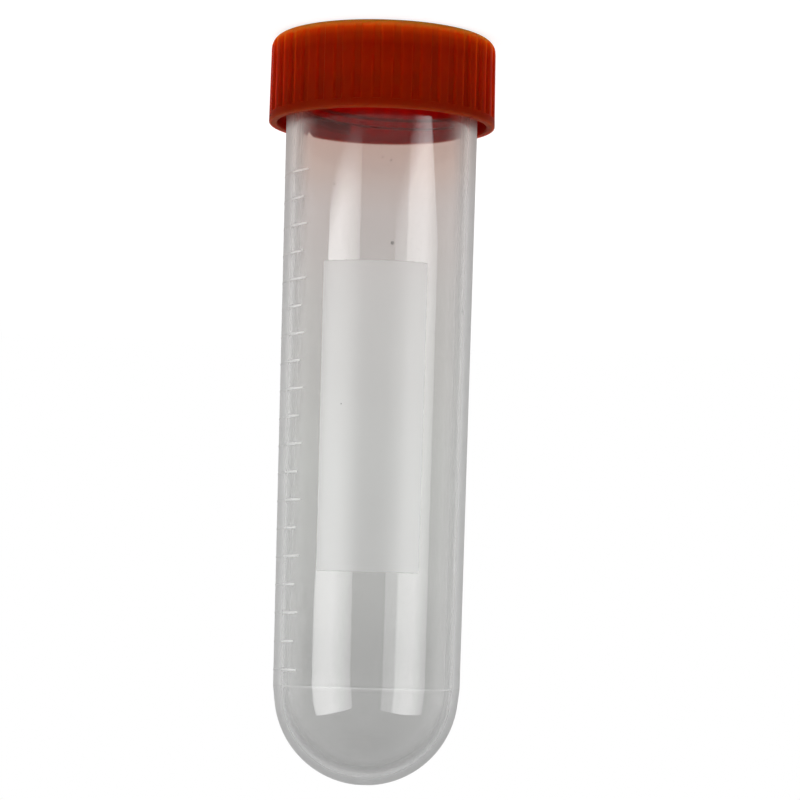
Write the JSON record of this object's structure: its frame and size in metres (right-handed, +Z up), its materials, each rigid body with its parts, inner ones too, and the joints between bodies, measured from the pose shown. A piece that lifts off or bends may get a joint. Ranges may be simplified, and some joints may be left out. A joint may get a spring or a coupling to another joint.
{
  "type": "round-bottom screw-cap sample tube",
  "caption": "Clear plastic tube with a round bottom, raised volume lines and a frosted writing panel, closed by a ribbed orange-red screw cap and standing on it.",
  "frame": {"origin": "the middle of the cap's flat top, on the surface that it stands on", "axes": "+Z up, along the tube's axis from the cap's flat top to the round bottom, because the closed tube stands on its cap; -Y is the side with the writing panel, and the volume lines are on the +X side"},
  "size_m": [0.0358, 0.0358, 0.1178],
  "materials": {
    "tube_plastic": "glossy, clear with a milky haze; the writing panel is frosted",
    "cap_plastic": "satin, slightly see-through at thin edges",
    "liner_foam": "matte foam"
  },
  "bodies": {
    "cap": {"cap": "cap_plastic"},
    "liner": {"seal_liner": "liner_foam"},
    "tube": {"tube": "tube_plastic"}
  },
  "joints": [
    {"name": "screw_turn", "type": "hinge", "parent": "cap", "child": "liner", "pos_m": [0, 0, 0.0029], "axis": [0, 0, 1], "range_deg": [0, 410]},
    {"name": "screw_lift", "type": "slide", "parent": "liner", "child": "tube", "axis": [0, 0, 1], "range_m": [0, 0.0058]}
  ],
  "couplings": [
    {"joint": "screw_lift", "follows": "screw_turn", "m_per_rad": 0.00079577}
  ]
}
